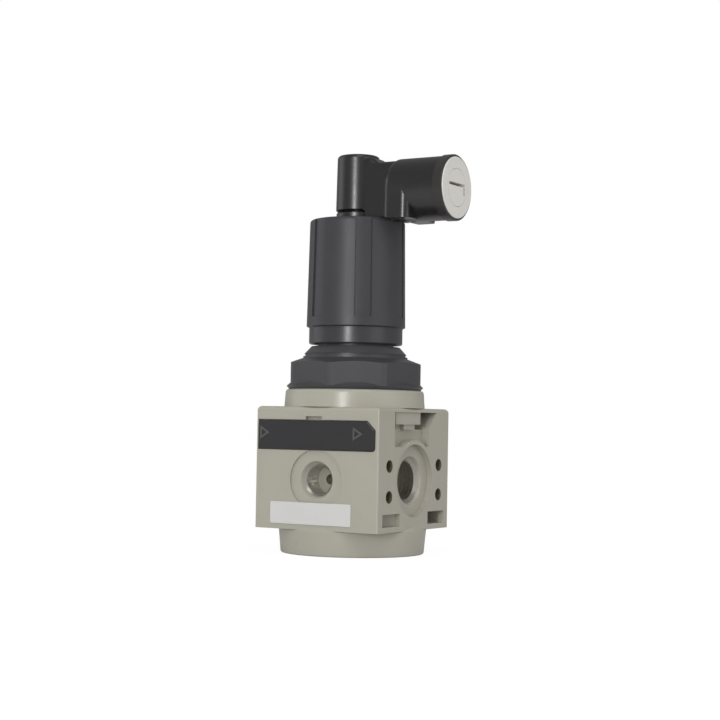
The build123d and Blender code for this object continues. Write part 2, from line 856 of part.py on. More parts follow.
# Bonnet
with BuildPart() as bonnet:
    with BuildSketch(Plane.XY.offset(body_top + bonnet_flange_height / 2)):
        RegularPolygon(octagon_across / 2, 8, major_radius=False, rotation=octagon_turn + 22.5)
    extrude(amount=octagon_top - body_top - bonnet_flange_height / 2)
    revolve(
        turned(
            [
                (0, body_top),
                (octagon_corner_radius, body_top),
                (octagon_corner_radius, octagon_top - octagon_crown_drop),
                (octagon_crown_radius, octagon_top),
                (0, octagon_top),
            ]
        ),
        axis=Axis.Z,
        mode=Mode.INTERSECT,
    )
    revolve(
        turned(
            [
                (0, body_top),
                (bonnet_flange_radius - 0.8, body_top),
                (bonnet_flange_radius, body_top + bonnet_flange_height / 2),
                (bonnet_flange_radius - 1.1, body_top + bonnet_flange_height),
                (0, body_top + bonnet_flange_height),
            ]
        ),
        axis=Axis.Z,
    )
    # Skirt screwed into the body, cone ring and tower
    revolve(ring(skirt_radius, 0, skirt_bottom, body_top), axis=Axis.Z)
    revolve(
        turned(
            [
                (0, octagon_top),
                (octagon_crown_radius, octagon_top),
                (octagon_crown_radius, octagon_top + bonnet_lip_height),
                (bonnet_groove_radius, octagon_top + bonnet_lip_height),
                (bonnet_groove_radius, groove_top),
                (cone_radius, groove_top),
                (cone_top_radius, cone_top),
                (tower_radius, cone_top),
                (tower_radius, tower_top - 0.4),
                (tower_radius - 0.4, tower_top),
                (0, tower_top),
            ]
        ),
        axis=Axis.Z,
    )
    # Ring of locking teeth around the foot of the tower, inside the knob
    with BuildSketch(Plane.XY.offset(knob_bottom + tooth_gap)):
        Circle(tooth_outer_radius)
        with PolarLocations(tower_radius, tooth_count, start_angle=180 / tooth_count):
            Rectangle(tooth_outer_radius, pi * tower_radius / tooth_count,
                      align=(Align.MIN, Align.CENTER), mode=Mode.SUBTRACT)
    extrude(amount=tooth_height)
    # Spring chamber, journal bore and the two ribs that guide the spring nut
    revolve(
        turned(
            [
                (0, skirt_bottom - 1),
                (skirt_bore_radius, skirt_bottom - 1),
                (skirt_bore_radius, skirt_bottom + skirt_bore_height),
                (tower_bore_radius, skirt_bottom + skirt_bore_height + 3),
                (tower_bore_radius, tower_inner_top),
                (journal_radius + running_gap, tower_inner_top),
                (journal_radius + running_gap, tower_top + 1),
                (0, tower_top + 1),
            ]
        ),
        axis=Axis.Z,
        mode=Mode.SUBTRACT,
    )
    with BuildSketch(Plane.XY.offset(screw_bottom)):
        with PolarLocations(tower_bore_radius - tower_rib_depth, 2):
            Rectangle(2 * tower_rib_depth, tower_rib_width, align=(Align.MIN, Align.CENTER))
    extrude(amount=tower_inner_top - screw_bottom - thrust_flange_height - 2)
bonnet.part.label = "bonnet"
export_step(bonnet.part, "parts/bonnet.step")

# Adjusting screw: thread, thrust flange, journal and the slit hexagon that drives it
washer_bottom = tower_inner_top - fit_gap - thrust_washer_height
flange_bottom = washer_bottom - fit_gap - thrust_flange_height
with BuildPart() as adjusting_screw:
    revolve(
        turned(
            [
                (0, screw_bottom),
                (screw_radius - 0.6, screw_bottom),
                (screw_radius, screw_bottom + 0.6),
                (screw_radius, flange_bottom),
                (thrust_flange_radius, flange_bottom),
                (thrust_flange_radius, flange_bottom + thrust_flange_height),
                (journal_radius, flange_bottom + thrust_flange_height),
                (journal_radius, tower_top + open_gap),
                (0, tower_top + open_gap),
            ]
        ),
        axis=Axis.Z,
    )
    with BuildSketch(Plane.XY.offset(tower_top + open_gap)):
        RegularPolygon(hex_across / 2, 6, major_radius=False)
    extrude(amount=hex_top - tower_top - open_gap)
    with BuildSketch(Plane.XY.offset(hex_top)):
        Circle(hex_bore_radius)
    extrude(amount=-hex_slit_depth - 1, mode=Mode.SUBTRACT)
    with BuildSketch(Plane.XY.offset(hex_top)):
        Rectangle(2 * hex_across, hex_slit_width)
        Rectangle(hex_slit_width, 2 * hex_across)
    extrude(amount=-hex_slit_depth, mode=Mode.SUBTRACT)
adjusting_screw.part.label = "adjusting_screw"
export_step(adjusting_screw.part, "parts/adjusting_screw.step")

with BuildPart() as thrust_washer:
    revolve(
        ring(thrust_flange_radius, journal_radius + running_gap, washer_bottom,
             washer_bottom + thrust_washer_height),
        axis=Axis.Z,
    )
thrust_washer.part.label = "thrust_washer"
export_step(thrust_washer.part, "parts/thrust_washer.step")

# Spring nut, kept from turning by the ribs, and the main spring under it
with BuildPart() as spring_nut:
    revolve(
        turned(
            [
                (screw_radius + running_gap, nut_bottom),
                (main_spring_radius - main_spring_wire / 2 - open_gap, nut_bottom),
                (main_spring_radius - main_spring_wire / 2 - open_gap, nut_bottom + 1.2),
                (nut_radius, nut_bottom + 1.2),
                (nut_radius, nut_bottom + nut_height),
                (screw_radius + running_gap, nut_bottom + nut_height),
            ]
        ),
        axis=Axis.Z,
    )
    with BuildSketch(Plane.XY.offset(nut_bottom)):
        with PolarLocations(tower_bore_radius - tower_rib_depth - open_gap, 2):
            Rectangle(2 * tower_rib_depth, tower_rib_width + 2 * open_gap,
                      align=(Align.MIN, Align.CENTER))
    extrude(amount=nut_height, mode=Mode.SUBTRACT)
spring_nut.part.label = "spring_nut"
export_step(spring_nut.part, "parts/spring_nut.step")

regulating_spring = coil(
    main_spring_radius,
    main_spring_wire,
    skirt_bottom + plate_disc_height + main_spring_wire / 2 + fit_gap,
    nut_bottom + 1.2 - main_spring_wire / 2 - fit_gap,
    main_spring_turns,
)
regulating_spring.part.label = "regulating_spring"
export_step(regulating_spring.part, "parts/regulating_spring.step")

# One flute of the knob, a shallow recess that follows the knob's taper
knob_slope = (knob_radius - knob_top_radius) / (knob_top - knob_band_top)
flute_foot_radius = knob_radius - knob_slope * (flute_bottom - knob_band_top)
with BuildPart() as flute:
    with BuildSketch(Plane.XZ.rotated((0, 0, flute_turn - flute_angle / 2))):
        with BuildLine():
            Polyline(
                (flute_foot_radius - flute_depth, flute_bottom),
                (flute_foot_radius + 1, flute_bottom),
                (flute_foot_radius + 1, knob_top + 1),
                (knob_top_radius - flute_depth, knob_top + 1),
                (knob_top_radius - flute_depth, knob_top),
                close=True,
            )
        make_face()
    revolve(axis=Axis.Z, revolution_arc=flute_angle)

# Knob
with BuildPart() as knob:
    revolve(
        turned(
            [
                (0, knob_bottom),
                (knob_band_radius - 0.3, knob_bottom),
                (knob_band_radius, knob_bottom + 0.3),
                (knob_band_radius, knob_band_top),
                (knob_radius, knob_band_top + knob_step),
                (knob_top_radius, knob_top),
                (0, knob_top),
            ]
        ),
        axis=Axis.Z,
    )
    fillet(knob.edges().group_by(Axis.Z)[-1], radius=knob_edge_radius)
    with PolarLocations(0, flute_count):
        add(flute.part, mode=Mode.SUBTRACT)
    revolve(ring(knob_bore_radius, 0, knob_bottom - 1, knob_wall_top), axis=Axis.Z, mode=Mode.SUBTRACT)
    with BuildSketch(Plane.XY.offset(knob_hub_bottom)):
        Circle(knob_hub_radius)
        with PolarLocations(0, flute_count):
            Rectangle(knob_bore_radius + 0.5, knob_rib_width, align=(Align.MIN, Align.CENTER))
    extrude(amount=knob_wall_top - knob_hub_bottom)
    with BuildSketch(Plane.XY.offset(knob_hub_bottom)):
        RegularPolygon(hex_across / 2 + running_gap, 6, major_radius=False)
    extrude(amount=stud_bottom - knob_hub_bottom, mode=Mode.SUBTRACT)
    with BuildSketch(Plane.XY.offset(knob_hub_bottom)):
        Circle(stud_thread_radius + fit_gap)
    extrude(amount=knob_top - knob_hub_bottom, mode=Mode.SUBTRACT)
knob.part.label = "knob"
export_step(knob.part, "parts/knob.step")

# Hollow stud screwed into the knob, on which the lock turns
with BuildPart() as lock_stud:
    revolve(
        turned(
            [
                (stud_bore_radius, stud_bottom),
                (stud_thread_radius, stud_bottom),
                (stud_thread_radius, knob_top),
                (stud_collar_radius, knob_top),
                (stud_collar_radius, stud_collar_top - 0.3),
                (stud_collar_radius - 0.3, stud_collar_top),
                (stud_stem_radius, stud_collar_top),
                (stud_stem_radius, clip_bottom - fit_gap),
                (clip_inner_radius - running_gap, clip_bottom - fit_gap),
                (clip_inner_radius - running_gap, clip_bottom + clip_height + fit_gap),
                (stud_stem_radius, clip_bottom + clip_height + fit_gap),
                (stud_stem_radius, stud_top),
                (stud_bore_radius, stud_top),
            ]
        ),
        axis=Axis.Z,
    )
lock_stud.part.label = "lock_stud"
export_step(lock_stud.part, "parts/lock_stud.step")

# Spring clip between the stud and the lock
with BuildPart() as stud_clip:
    revolve(
        ring(clip_outer_radius, clip_inner_radius, clip_bottom, clip_bottom + clip_height),
        axis=Axis.Z,
    )
    with BuildSketch(Plane.XY.offset(clip_bottom)):
        Rectangle(2 * clip_outer_radius, clip_opening, align=(Align.MAX, Align.CENTER))
    extrude(amount=clip_height, mode=Mode.SUBTRACT)
stud_clip.part.label = "stud_clip"
export_step(stud_clip.part, "parts/stud_clip.step")

# Post of the lock, with its top edge rounded
with BuildPart() as lock_post:
    revolve(
        turned(
            [
                (0, post_bottom),
                (post_radius - 0.4, post_bottom),
                (post_radius, post_bottom + 0.4),
                (post_top_radius, post_top),
                (0, post_top),
            ]
        ),
        axis=Axis.Z,
    )
    fillet(lock_post.edges().group_by(Axis.Z)[-1], radius=post_edge_radius)

# Neck between post and barrel, with a top that runs down from the post
with BuildPart() as lock_neck:
    with BuildSketch(Plane.XZ):
        with BuildLine():
            shoulder = Line((0, neck_shoulder_top), (neck_shoulder, neck_shoulder_top))
            flat_top = Line((neck_flat, neck_top), (barrel_bore_back, neck_top))
            Spline(shoulder @ 1, flat_top @ 0, tangents=[(1, 0), (1, 0)])
            Polyline(
                flat_top @ 1,
                (barrel_bore_back, saddle_bottom),
                (0, saddle_bottom),
                shoulder @ 0,
            )
        make_face()
    extrude(amount=neck_half_width, both=True)
    neck_sides = lock_neck.edges().filter_by(
        lambda edge: abs(abs(edge.center().Y) - neck_half_width) < 0.01 and edge.center().Z > neck_top - 0.1
    )
    fillet(neck_sides, radius=neck_edge_radius)

# Cast elbow of the lock: barrel on a saddle, neck and post
with BuildPart() as lock_housing:
    with BuildSketch(Plane.YZ.offset(barrel_back)):
        with Locations((0, barrel_height)):
            Circle(barrel_radius)
            Rectangle(2 * barrel_radius, barrel_height - saddle_bottom, align=(Align.CENTER, Align.MAX))
    extrude(amount=saddle_end - barrel_back)
    fillet(
        lock_housing.edges().filter_by(Axis.Z).group_by(Axis.X)[-1],
        radius=saddle_corner,
    )
    with BuildSketch(Plane.YZ.offset(barrel_back)):
        with Locations((0, barrel_height)):
            Circle(barrel_radius)
    extrude(amount=barrel_end - barrel_back)
    fillet(
        lock_housing.faces().sort_by(Axis.X)[0].edges(),
        radius=barrel_back_radius,
    )
    add(lock_neck.part)
    # Room for the top of the knob and for the collar of the stud
    revolve(
        turned(
            [
                (0, saddle_bottom - 1),
                (knob_top_radius + saddle_gap, saddle_bottom - 1),
                (knob_top_radius + saddle_gap, saddle_level),
                (stud_collar_radius + saddle_gap, saddle_level),
                (stud_collar_radius + saddle_gap, post_bottom),
                (0, post_bottom),
            ]
        ),
        axis=Axis.Z,
        mode=Mode.SUBTRACT,
    )
    add(lock_post.part)
    # Bores for the stud and bolt, the clip, the lock cylinder, the crank and the pin
    revolve(
        turned(
            [
                (0, saddle_bottom - 1),
                (stud_stem_radius + running_gap, saddle_bottom - 1),
                (stud_stem_radius + running_gap, clip_bottom - fit_gap),
                (clip_outer_radius + fit_gap, clip_bottom - fit_gap),
                (clip_outer_radius + fit_gap, clip_bottom + clip_height + fit_gap),
                (stud_stem_radius + running_gap, clip_bottom + clip_height + fit_gap),
                (stud_stem_radius + running_gap, post_bore_top),
                (0, post_bore_top),
            ]
        ),
        axis=Axis.Z,
        mode=Mode.SUBTRACT,
    )
    with BuildSketch(Plane.YZ.offset(barrel_bore_back)):
        with Locations((0, barrel_height)):
            Circle(barrel_bore_radius)
    extrude(amount=barrel_end, mode=Mode.SUBTRACT)
    with BuildSketch(Plane.YZ):
        with Locations((0, barrel_height)):
            Circle(crank_bore_radius)
    extrude(amount=barrel_end, mode=Mode.SUBTRACT)
    with BuildSketch(Plane.XY.offset(saddle_bottom - 1)):
        with Locations((cylinder_pin_x, 0)):
            Circle(cylinder_pin_radius + fit_gap)
    extrude(amount=4, mode=Mode.SUBTRACT)
lock_housing.part.label = "lock_housing"
export_step(lock_housing.part, "parts/lock_housing.step")

# Lock cylinder with its dark rim, held by a cross pin
with BuildPart() as lock_cylinder:
    with BuildSketch(Plane.YZ.offset(lock_plug_back)):
        with Locations((0, barrel_height)):
            Circle(barrel_bore_radius - fit_gap)
    extrude(amount=barrel_end - lock_plug_back)
    with BuildSketch(Plane.YZ.offset(barrel_end)):
        with Locations((0, barrel_height)):
            Circle(rim_radius)
    extrude(amount=rim_length)
    chamfer(lock_cylinder.faces().sort_by(Axis.X)[-1].edges(), length=rim_bevel)
    with BuildSketch(Plane.YZ.offset(rim_end - face_depth)):
        with Locations((0, barrel_height)):
            Circle(face_radius + fit_gap)
    extrude(amount=face_depth + 1, mode=Mode.SUBTRACT)
    with BuildSketch(Plane.YZ.offset(lock_plug_back - 1)):
        with Locations((0, barrel_height)):
            Circle(lock_plug_radius + running_gap)
    extrude(amount=face_end, mode=Mode.SUBTRACT)
    with BuildSketch(Plane.XY.offset(saddle_bottom)):
        with Locations((cylinder_pin_x, 0)):
            Circle(cylinder_pin_radius + fit_gap)
    extrude(amount=cylinder_pin_top + fit_gap - saddle_bottom, mode=Mode.SUBTRACT)
lock_cylinder.part.label = "lock_cylinder"
export_step(lock_cylinder.part, "parts/lock_cylinder.step")

with BuildPart() as cylinder_pin:
    with BuildSketch(Plane.XY.offset(saddle_bottom + 0.1)):
        with Locations((cylinder_pin_x, 0)):
            Circle(cylinder_pin_radius)
    extrude(amount=cylinder_pin_top - saddle_bottom - 0.1)
cylinder_pin.part.label = "cylinder_pin"
export_step(cylinder_pin.part, "parts/cylinder_pin.step")

with BuildPart() as lock_face:
    with BuildSketch(Plane.YZ.offset(rim_end - face_depth)):
        with Locations((0, barrel_height)):
            Circle(face_radius)
            Circle(lock_plug_radius + running_gap, mode=Mode.SUBTRACT)
    extrude(amount=face_depth + face_proud)
    fillet(
        lock_face.edges().group_by(Axis.X)[-1].sort_by(SortBy.RADIUS)[-1],
        radius=face_edge_radius,
    )
lock_face.part.label = "lock_face"
export_step(lock_face.part, "parts/lock_face.step")

# Plug that the key turns, with its keyway and the crank that drives the bolt
with BuildPart() as lock_plug:
    with BuildSketch(Plane.YZ.offset(lock_plug_back)):
        with Locations((0, barrel_height)):
            Circle(lock_plug_radius)
    extrude(amount=face_end - lock_plug_back)
    with BuildSketch(Plane.YZ.offset(crank_front)):
        with Locations((0, barrel_height)):
            Circle(crank_radius)
    extrude(amount=lock_plug_back - crank_front)
    with BuildSketch(Plane.YZ.offset(crank_pin_end)):
        with Locations((pin_side, slot_height)):
            Circle(crank_pin_radius)
    extrude(amount=crank_front - crank_pin_end)
    with BuildSketch(Plane.YZ.offset(face_end - keyway_depth)):
        with Locations((0, barrel_height + keyway_rise)):
            Rectangle(keyway_length, keyway_width)
        with Locations((keyway_length / 2, barrel_height + keyway_rise)):
            Rectangle(keyway_width, keyway_foot, align=(Align.MAX, Align.MAX))
    extrude(amount=keyway_depth, mode=Mode.SUBTRACT)
lock_plug.part.label = "lock_plug"
export_step(lock_plug.part, "parts/lock_plug.step")

# Bolt that the crank lifts, its tip between the slit ends of the adjusting screw
with BuildPart() as lock_bolt:
    revolve(
        turned(
            [
                (0, bolt_tip_bottom),
                (bolt_tip_radius - 0.4, bolt_tip_bottom),
                (bolt_tip_radius, bolt_tip_bottom + 0.4),
                (bolt_tip_radius, bolt_step),
                (bolt_radius, bolt_step),
                (bolt_radius, bolt_top - 0.4),
                (bolt_radius - 0.4, bolt_top),
                (0, bolt_top),
            ]
        ),
        axis=Axis.Z,
    )
    with BuildSketch(Plane.YZ.offset(-bolt_radius - 1)):
        with Locations((bolt_slot_inner, slot_height)):
            Rectangle(2 * bolt_radius, 2 * bolt_slot_half, align=(Align.MIN, Align.CENTER))
    extrude(amount=2 * bolt_radius + 2, mode=Mode.SUBTRACT)
lock_bolt.part.label = "lock_bolt"
export_step(lock_bolt.part, "parts/lock_bolt.step")
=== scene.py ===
"""Studio view of a compressed-air pressure regulator with a key lock on its knob."""
import json
from math import cos, pi, radians, sin

import bmesh
import bpy
from mathutils import Matrix, Vector

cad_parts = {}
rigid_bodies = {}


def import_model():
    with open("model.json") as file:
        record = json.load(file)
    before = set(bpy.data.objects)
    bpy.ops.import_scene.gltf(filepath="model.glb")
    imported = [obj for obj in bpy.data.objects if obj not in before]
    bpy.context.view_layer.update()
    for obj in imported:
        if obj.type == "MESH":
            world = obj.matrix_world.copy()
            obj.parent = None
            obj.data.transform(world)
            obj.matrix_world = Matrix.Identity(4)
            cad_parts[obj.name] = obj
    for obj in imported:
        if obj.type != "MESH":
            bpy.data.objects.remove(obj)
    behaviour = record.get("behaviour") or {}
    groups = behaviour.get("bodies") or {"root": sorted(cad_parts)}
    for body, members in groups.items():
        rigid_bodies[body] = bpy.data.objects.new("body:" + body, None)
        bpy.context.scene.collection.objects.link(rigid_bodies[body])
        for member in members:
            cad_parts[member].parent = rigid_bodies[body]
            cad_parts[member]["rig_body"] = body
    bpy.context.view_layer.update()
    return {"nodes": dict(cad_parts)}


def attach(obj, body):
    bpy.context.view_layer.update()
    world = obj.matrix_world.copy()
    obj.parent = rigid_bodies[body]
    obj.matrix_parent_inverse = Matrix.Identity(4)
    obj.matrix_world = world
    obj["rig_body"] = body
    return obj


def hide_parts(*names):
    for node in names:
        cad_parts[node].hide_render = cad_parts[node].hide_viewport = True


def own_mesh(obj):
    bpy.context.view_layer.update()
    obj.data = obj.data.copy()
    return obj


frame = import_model()

# Places of the part, and sizes of what is drawn on it, in metres
MM = 0.001
PORT_HEIGHT = 22.2 * MM
PORT_BACK = 11.65 * MM
PORT_MOUTH = 18.55 * MM
PORT_MAJOR = 13.157 / 2 * MM
PORT_MINOR = 11.445 / 2 * MM
PORT_PITCH = 1.337 * MM
PORT_CONE = 6.65 * MM
GAUGE_BACK = 12.95 * MM
GAUGE_MOUTH = 19.55 * MM
GAUGE_MAJOR = 9.728 / 2 * MM
GAUGE_MINOR = 8.566 / 2 * MM
GAUGE_PITCH = 0.907 * MM
THREAD_ROOT = 0.15 * MM
THREAD_CREST = 0.03 * MM
THREAD_STEPS = 48
PLATE_FRONT = -21.55 * MM
ARROW_GAP = 0.02 * MM
ARROW_RISE = 0.12 * MM
ARROW_WIDTH = 0.6 * MM
ARROW_LENGTH = 3.4 * MM
ARROW_LOW = 33.8 * MM
ARROW_HIGH = 37.85 * MM
KNOB_BAND_TOP = 67.45 * MM
FIXING_ACROSS = 14.8 * MM
FIXING_UP = 4.45 * MM
FIXING_RADIUS = 1.85 * MM


def tone(red, green, blue):
    """A colour picked on the 0 to 255 scale, as the shader wants it."""
    def straight(value):
        value = value / 255
        return value / 12.92 if value <= 0.04045 else ((value + 0.055) / 1.055) ** 2.4
    return (straight(red), straight(green), straight(blue), 1.0)


# Effects shared by several finishes
GRAIN_SHARE = 0.35
WAVES_PER_METRE = 90.0
UNEVEN_SHINE = 0.12
BAND_SMOOTHER = 0.14
# Painted shade: the darker colour inside the fixing holes
PAINTED_BORE_SHADE = tone(96, 90, 78)
SPECKS_PER_METRE = 700.0
SPECKLED_SHINE = 0.2


def socket(group, name, kind, value=None, way="INPUT"):
    """Adds one named socket to a node group."""
    made = group.interface.new_socket(name=name, in_out=way, socket_type=kind)
    if value is not None:
        made.default_value = value


def moulded_grain_and_painted_shade():
    """Fine spark-eroded grain of moulded plastic, with slow waves of colour over it.

    It is smoother below a given height, and painted darker inside the fixing holes: painted shade for
    their depth.
    """
    group = bpy.data.node_groups.new("moulded grain and painted shade", "ShaderNodeTree")
    socket(group, "Grain per metre", "NodeSocketFloat", 3000.0)
    socket(group, "Light", "NodeSocketColor", (1, 1, 1, 1))
    socket(group, "Dark", "NodeSocketColor", (0, 0, 0, 1))
    socket(group, "Roughness", "NodeSocketFloat", 0.5)
    socket(group, "Smooth below", "NodeSocketFloat", -1.0)
    socket(group, "Painted shade radius", "NodeSocketFloat", 0.0)
    socket(group, "Colour", "NodeSocketColor", way="OUTPUT")
    socket(group, "Shine", "NodeSocketFloat", way="OUTPUT")
    socket(group, "Height", "NodeSocketFloat", way="OUTPUT")
    nodes, links = group.nodes, group.links

    def reckon(operation, first, second=0.0):
        """One step of arithmetic on a socket and a second socket or number."""
        step = nodes.new("ShaderNodeMath")
        step.operation = operation
        links.new(first, step.inputs[0])
        if isinstance(second, float):
            step.inputs[1].default_value = second
        else:
            links.new(second, step.inputs[1])
        return step.outputs[0]

    given = nodes.new("NodeGroupInput")
    result = nodes.new("NodeGroupOutput")
    place = nodes.new("ShaderNodeTexCoord")
    along = nodes.new("ShaderNodeSeparateXYZ")
    links.new(place.outputs["Object"], along.inputs[0])
    smooth_band = reckon("LESS_THAN", along.outputs["Z"], given.outputs["Smooth below"])

    # How far a point is from the axis of the nearest of the four fixing holes, which sets where the
    # painted shade goes
    across = reckon("SUBTRACT", reckon("ABSOLUTE", along.outputs["Y"]), FIXING_ACROSS)
    above = reckon("ABSOLUTE", reckon("SUBTRACT", along.outputs["Z"], PORT_HEIGHT))
    above = reckon("SUBTRACT", above, FIXING_UP)
    reach = reckon("ADD", reckon("MULTIPLY", across, across), reckon("MULTIPLY", above, above))
    in_painted_bore_shade = reckon("LESS_THAN", reckon("SQRT", reach), given.outputs["Painted shade radius"])

    grain = nodes.new("ShaderNodeTexNoise")
    grain.inputs["Detail"].default_value = 3.0
    grain.inputs["Roughness"].default_value = 0.6
    links.new(place.outputs["Object"], grain.inputs["Vector"])
    links.new(given.outputs["Grain per metre"], grain.inputs["Scale"])
    waves = nodes.new("ShaderNodeTexNoise")
    waves.inputs["Scale"].default_value = WAVES_PER_METRE
    waves.inputs["Detail"].default_value = 2.0
    links.new(place.outputs["Object"], waves.inputs["Vector"])
    blend = reckon("ADD", reckon("MULTIPLY", grain.outputs["Fac"], GRAIN_SHARE),
                   reckon("MULTIPLY", waves.outputs["Fac"], 1 - GRAIN_SHARE))
    colour = nodes.new("ShaderNodeMix")
    colour.data_type = "RGBA"
    links.new(blend, colour.inputs["Factor"])
    links.new(given.outputs["Dark"], colour.inputs["A"])
    links.new(given.outputs["Light"], colour.inputs["B"])
    # Painted shade: a darker colour inside the fixing holes, where their depth lies in shadow
    shaded = nodes.new("ShaderNodeMix")
    shaded.data_type = "RGBA"
    shaded.inputs["B"].default_value = PAINTED_BORE_SHADE
    links.new(in_painted_bore_shade, shaded.inputs["Factor"])
    links.new(colour.outputs["Result"], shaded.inputs["A"])
    shine = reckon("MULTIPLY", waves.outputs["Fac"], UNEVEN_SHINE)
    shine = reckon("ADD", shine, given.outputs["Roughness"])
    shine = reckon("SUBTRACT", shine, reckon("MULTIPLY", smooth_band, BAND_SMOOTHER))
    links.new(shaded.outputs["Result"], result.inputs["Colour"])
    links.new(shine, result.inputs["Shine"])
    links.new(grain.outputs["Fac"], result.inputs["Height"])
    return group


def turned_metal():
    """Fine specks that machining and handling leave on metal."""
    group = bpy.data.node_groups.new("turned metal", "ShaderNodeTree")
    socket(group, "Clean", "NodeSocketColor", (1, 1, 1, 1))
    socket(group, "Worn", "NodeSocketColor", (0, 0, 0, 1))
    socket(group, "Roughness", "NodeSocketFloat", 0.3)
    socket(group, "Colour", "NodeSocketColor", way="OUTPUT")
    socket(group, "Shine", "NodeSocketFloat", way="OUTPUT")
    socket(group, "Height", "NodeSocketFloat", way="OUTPUT")
    nodes, links = group.nodes, group.links
    given = nodes.new("NodeGroupInput")
    result = nodes.new("NodeGroupOutput")
    place = nodes.new("ShaderNodeTexCoord")
    specks = nodes.new("ShaderNodeTexNoise")
    specks.inputs["Scale"].default_value = SPECKS_PER_METRE
    specks.inputs["Detail"].default_value = 5.0
    links.new(place.outputs["Object"], specks.inputs["Vector"])
    colour = nodes.new("ShaderNodeMix")
    colour.data_type = "RGBA"
    links.new(specks.outputs["Fac"], colour.inputs["Factor"])
    links.new(given.outputs["Clean"], colour.inputs["A"])
    links.new(given.outputs["Worn"], colour.inputs["B"])
    shine = nodes.new("ShaderNodeMath")
    shine.operation = "MULTIPLY_ADD"
    shine.inputs[1].default_value = SPECKLED_SHINE
    links.new(specks.outputs["Fac"], shine.inputs[0])
    links.new(given.outputs["Roughness"], shine.inputs[2])
    links.new(colour.outputs["Result"], result.inputs["Colour"])
    links.new(shine.outputs[0], result.inputs["Shine"])
    links.new(specks.outputs["Fac"], result.inputs["Height"])
    return group


# The moulded grain group also paints shade inside the fixing holes when it is given a radius
GRAIN = moulded_grain_and_painted_shade()
TURNED = turned_metal()


def finish_of(name, effect, settings, metallic=0.0, bump=0.1, bump_size=0.05, level=0.5):
    """A material whose colour, shine and relief come from one of the shared effects."""
    material = bpy.data.materials.new(name)
    material.use_nodes = True
    nodes, links = material.node_tree.nodes, material.node_tree.links
    shader = nodes["Principled BSDF"]
    shader.inputs["Metallic"].default_value = metallic
    shader.inputs["Specular IOR Level"].default_value = level
    pattern = nodes.new("ShaderNodeGroup")
    pattern.node_tree = effect
    for key, value in settings.items():
        pattern.inputs[key].default_value = value
    relief = nodes.new("ShaderNodeBump")
    relief.inputs["Strength"].default_value = bump
    relief.inputs["Distance"].default_value = bump_size * MM
    links.new(pattern.outputs["Colour"], shader.inputs["Base Color"])
    links.new(pattern.outputs["Shine"], shader.inputs["Roughness"])
    links.new(pattern.outputs["Height"], relief.inputs["Height"])
    links.new(relief.outputs["Normal"], shader.inputs["Normal"])
    return material


def moulded(name, light, dark, roughness, bump=0.25, smooth_below=-1.0, painted_shade_radius=0.0):
    """A moulded plastic."""
    return finish_of(name, GRAIN, {
        "Light": light, "Dark": dark, "Roughness": roughness,
        "Smooth below": smooth_below, "Painted shade radius": painted_shade_radius,
    }, bump=bump)


def metal(name, clean, worn, roughness):
    """A bare or plated metal."""
    return finish_of(name, TURNED, {"Clean": clean, "Worn": worn, "Roughness": roughness}, metallic=1.0)


# The body's colour carries painted shade inside its fixing holes
grey_body = moulded("light grey moulding", tone(170, 167, 154), tone(160, 157, 145), 0.24, bump=0.05,
                    painted_shade_radius=FIXING_RADIUS)
dark_moulding = moulded("dark grey moulding", tone(68, 68, 71), tone(56, 56, 59), 0.34, bump=0.15)
knob_moulding = moulded("dark grey grip", tone(62, 62, 65), tone(51, 51, 54), 0.38, bump=0.12,
                        smooth_below=KNOB_BAND_TOP)
plate_black = moulded("smooth black plate", tone(48, 48, 50), tone(40, 40, 42), 0.3, bump=0.08)
label_white = moulded("white film", tone(207, 206, 204), tone(198, 197, 195), 0.4, bump=0.04)
plate_relief = moulded("raised grey", tone(84, 84, 82), tone(72, 72, 70), 0.35, bump=0.04)
rubber_black = moulded("black rubber", tone(34, 34, 34), tone(26, 26, 26), 0.6)
natural_plastic = moulded("natural plastic", tone(205, 202, 190), tone(190, 188, 176), 0.45)
nickel = metal("nickelled brass", tone(205, 203, 196), tone(176, 173, 163), 0.3)
yellow_brass = metal("bare brass", tone(206, 172, 104), tone(170, 136, 78), 0.28)
plated_steel = metal("plated steel", tone(196, 196, 198), tone(150, 150, 152), 0.3)
spring_steel = metal("spring wire", tone(130, 130, 134), tone(90, 90, 94), 0.32)
bare_alloy = metal("turned alloy", tone(206, 206, 204), tone(176, 176, 174), 0.34)
lock_paint = finish_of(
    "black lacquer over cast zinc", GRAIN,
    {"Light": tone(18, 18, 19), "Dark": tone(11, 11, 12), "Roughness": 0.27, "Grain per metre": 700.0},
    bump=0.12, bump_size=0.1, level=0.95,
)
rim_black = moulded("black rim", tone(58, 52, 52), tone(40, 37, 38), 0.26, bump=0.06)
face_grey = finish_of(
    "satin face", TURNED,
    {"Clean": tone(224, 221, 216), "Worn": tone(214, 211, 205), "Roughness": 0.4},
    metallic=0.05, bump=0.12,
)

# Which finish each node of the frame wears
WEAR = {
    "body": grey_body,
    "port_insert_in": nickel,
    "port_insert_out": nickel,
    "gauge_insert_front": nickel,
    "gauge_insert_rear": nickel,
    "gauge_plug_seal": rubber_black,
    "gauge_plug": plated_steel,
    "front_plate": plate_black,
    "rating_label": label_white,
    "valve_seat": yellow_brass,
    "bottom_plug": dark_moulding,
    "bottom_plug_seal": rubber_black,
    "valve_poppet": yellow_brass,
    "poppet_seal": rubber_black,
    "stem_seal": rubber_black,
    "valve_spring": spring_steel,
    "diaphragm": rubber_black,
    "diaphragm_plate": bare_alloy,
    "relief_disc": bare_alloy,
    "bonnet": dark_moulding,
    "adjusting_screw": plated_steel,
    "thrust_washer": natural_plastic,
    "spring_nut": yellow_brass,
    "regulating_spring": spring_steel,
    "knob": knob_moulding,
    "lock_stud": lock_paint,
    "stud_clip": spring_steel,
    "lock_housing": lock_paint,
    "lock_cylinder": rim_black,
    "cylinder_pin": plated_steel,
    "lock_face": face_grey,
    "lock_plug": face_grey,
    "lock_bolt": plated_steel,
}


